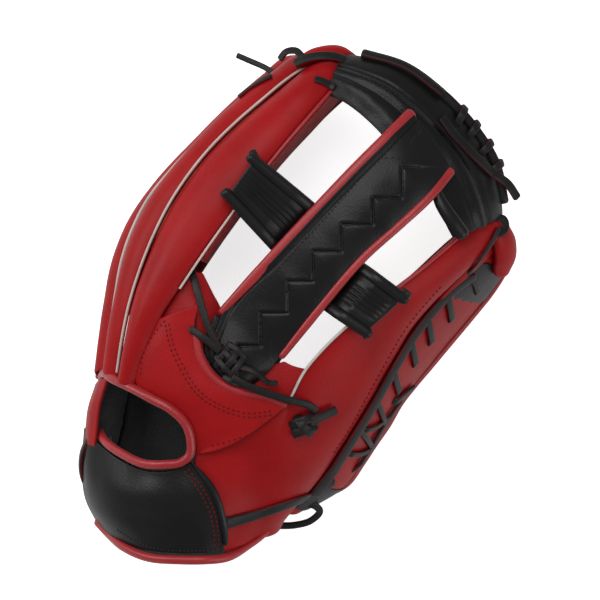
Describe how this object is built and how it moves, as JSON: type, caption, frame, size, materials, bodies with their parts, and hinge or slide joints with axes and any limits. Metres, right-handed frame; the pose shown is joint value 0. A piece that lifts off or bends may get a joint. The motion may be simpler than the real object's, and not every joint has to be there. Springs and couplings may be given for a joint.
{
  "type": "baseball fielder's glove",
  "caption": "Left-hand leather fielder's glove with laced H-shaped web, open back and wrist strap; the thumb half and web fold shut along the palm crease.",
  "frame": {"origin": "centre of the bounding box in X and Y, on the table plane", "axes": "+Y from the heel to the fingertips, +X towards the thumb, +Z out of the back of the hand; the pocket's mouth lies down"},
  "size_m": [0.266, 0.3096, 0.1167],
  "materials": {
    "red_leather": "oiled full-grain leather, satin",
    "black_leather": "black full-grain leather, satin",
    "black_lace": "rawhide lace, black, satin",
    "grey_piping": "pale grey leather piping, satin",
    "red_binding": "rolled red leather binding, satin",
    "black_binding": "rolled black leather binding, satin",
    "tan_lining": "bare tan glove leather, matt",
    "palm_leather": "oiled full-grain leather, satin",
    "felt": "pressed wool felt",
    "fleece": "synthetic fleece",
    "plastic": "moulded sheet insert"
  },
  "bodies": {
    "root": {"index_back_shell": "red_leather", "middle_back_shell": "red_leather", "ring_back_shell": "red_leather", "pinky_back_shell": "red_leather", "index_side_wall": "tan_lining", "index_middle_wall": "tan_lining", "middle_ring_wall": "tan_lining", "ring_pinky_wall": "tan_lining", "pinky_side_wall": "tan_lining", "index_web_welt": "grey_piping", "index_middle_welt": "grey_piping", "middle_ring_welt": "grey_piping", "ring_pinky_welt": "grey_piping", "pinky_edge_welt": "grey_piping", "palm_shell_fingers": "palm_leather", "palm_felt": "felt", "hand_liner": "tan_lining", "back_hand_shell": "red_leather", "heel_back_shell": "red_leather", "crotch_binding": "red_binding", "wrist_strap": "black_leather", "strap_fleece": "fleece", "pinky_heel_shell": "red_leather", "window_upper_binding": "red_binding", "window_lower_binding": "red_binding", "wrist_binding": "red_binding", "heel_binding": "red_binding", "fingertip_lace": "black_lace", "wrist_lace": "black_lace"},
    "thumb": {"thumb_back_shell": "red_leather", "thumb_outer_wall": "red_leather", "palm_shell_thumb": "palm_leather", "thumb_web_wall": "tan_lining", "thumb_stiffener": "plastic", "thumb_heel_felt": "felt", "thumb_web_welt": "grey_piping", "thumb_edge_band": "black_binding", "thumb_lip_binding": "red_binding", "thumb_crotch_lace": "black_lace", "heel_lace": "black_lace", "thumb_edge_loops": "black_lace", "thumb_loop": "tan_lining"},
    "web": {"web_post": "black_leather", "web_woven_cover": "black_leather", "web_post_binding_thumb_side": "red_binding", "web_post_binding_index_side": "red_binding", "web_top_arch": "black_leather", "web_rim_binding": "black_binding", "web_base": "black_leather", "web_index_bar": "black_leather", "web_thumb_bar": "black_leather", "crotch_lace": "black_lace", "index_bar_laces": "black_lace", "thumb_bar_laces": "black_lace", "web_rim_lace": "black_lace"}
  },
  "joints": [
    {"name": "thumb_close", "type": "hinge", "parent": "root", "child": "thumb", "pos_m": [-0.02552, -0.14458, 0.02217], "axis": [0.227, 0.9351, 0.2723], "range_deg": [0, 30]},
    {"name": "web_fold", "type": "hinge", "parent": "root", "child": "web", "pos_m": [-0.02552, -0.14458, 0.02217], "axis": [0.227, 0.9351, 0.2723], "range_deg": [0, 15]}
  ],
  "couplings": [
    {"joint": "web_fold", "follows": "thumb_close", "ratio": 0.5}
  ]
}
